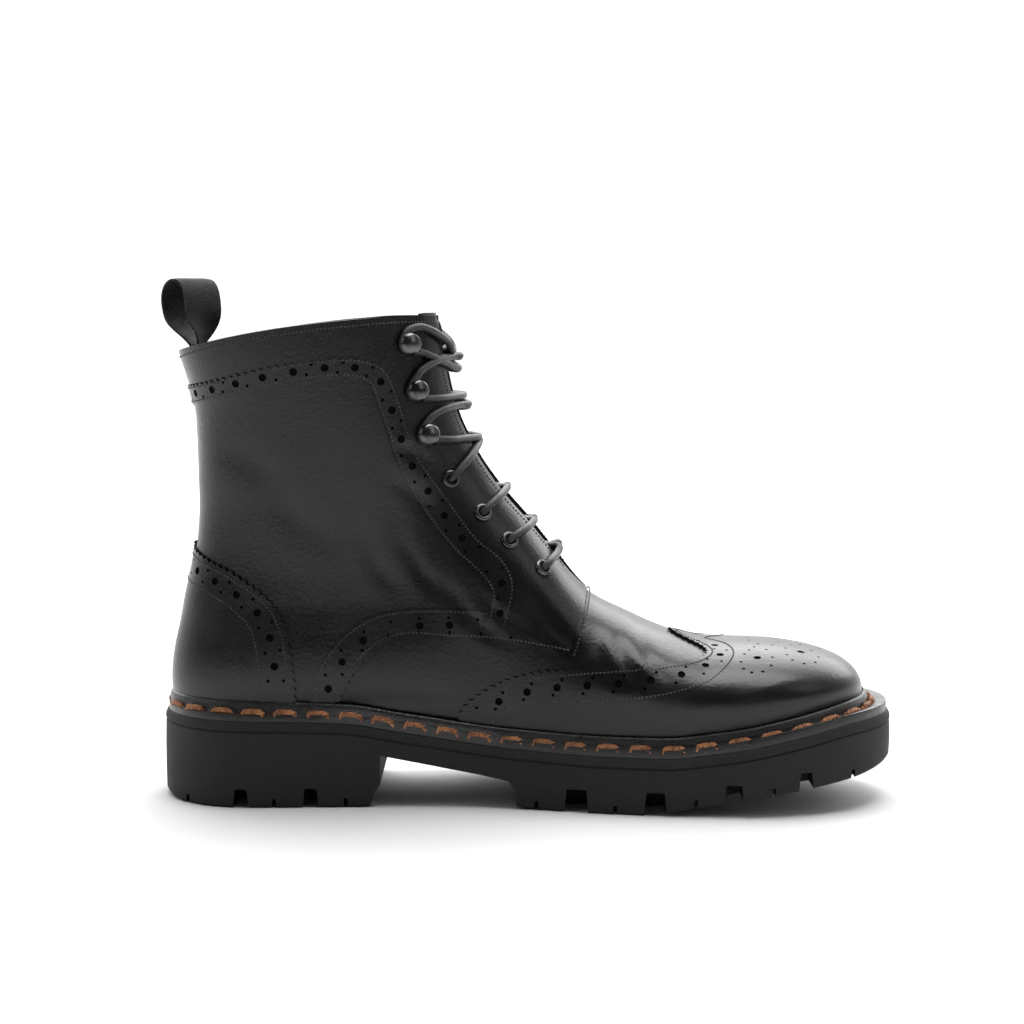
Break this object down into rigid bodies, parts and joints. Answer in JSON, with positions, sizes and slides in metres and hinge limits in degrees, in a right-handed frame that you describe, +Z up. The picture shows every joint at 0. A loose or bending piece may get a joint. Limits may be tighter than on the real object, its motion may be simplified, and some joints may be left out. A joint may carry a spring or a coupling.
{
  "type": "lace-up ankle boot",
  "caption": "Black leather wingtip lace-up ankle boot with a stitched welt, a thick lug sole, speed hooks and a webbing pull loop, for the left foot.",
  "frame": {"origin": "bottom centre of the whole boot's box, on the plane that heel and forefoot stand on", "axes": "+X towards the toe, +Y towards the lateral side of this left boot, +Z up"},
  "size_m": [0.306, 0.1132, 0.2167],
  "materials": {
    "sole": "matte moulded rubber with a little dust",
    "welt": "waxed black leather with tan stitches",
    "footbed": "plain dark footbed leather",
    "upper": "smooth polished black leather with broguing",
    "webbing": "black twill webbing",
    "lace": "waxed black round cord",
    "metal": "polished dark nickel"
  },
  "bodies": {
    "root": {"outsole": "sole", "welt": "welt", "insole": "footbed", "upper": "upper", "quarter_medial": "upper", "quarter_lateral": "upper", "wing_cap": "upper", "heel_counter": "upper", "tongue": "upper", "pull_loop": "webbing", "laces": "lace", "eyelet_medial_1": "metal", "eyelet_medial_2": "metal", "eyelet_medial_3": "metal", "eyelet_medial_4": "metal", "eyelet_lateral_1": "metal", "eyelet_lateral_2": "metal", "eyelet_lateral_3": "metal", "eyelet_lateral_4": "metal", "hook_medial_1": "metal", "hook_medial_2": "metal", "hook_medial_3": "metal", "hook_lateral_1": "metal", "hook_lateral_2": "metal", "hook_lateral_3": "metal"}
  },
  "joints": []
}
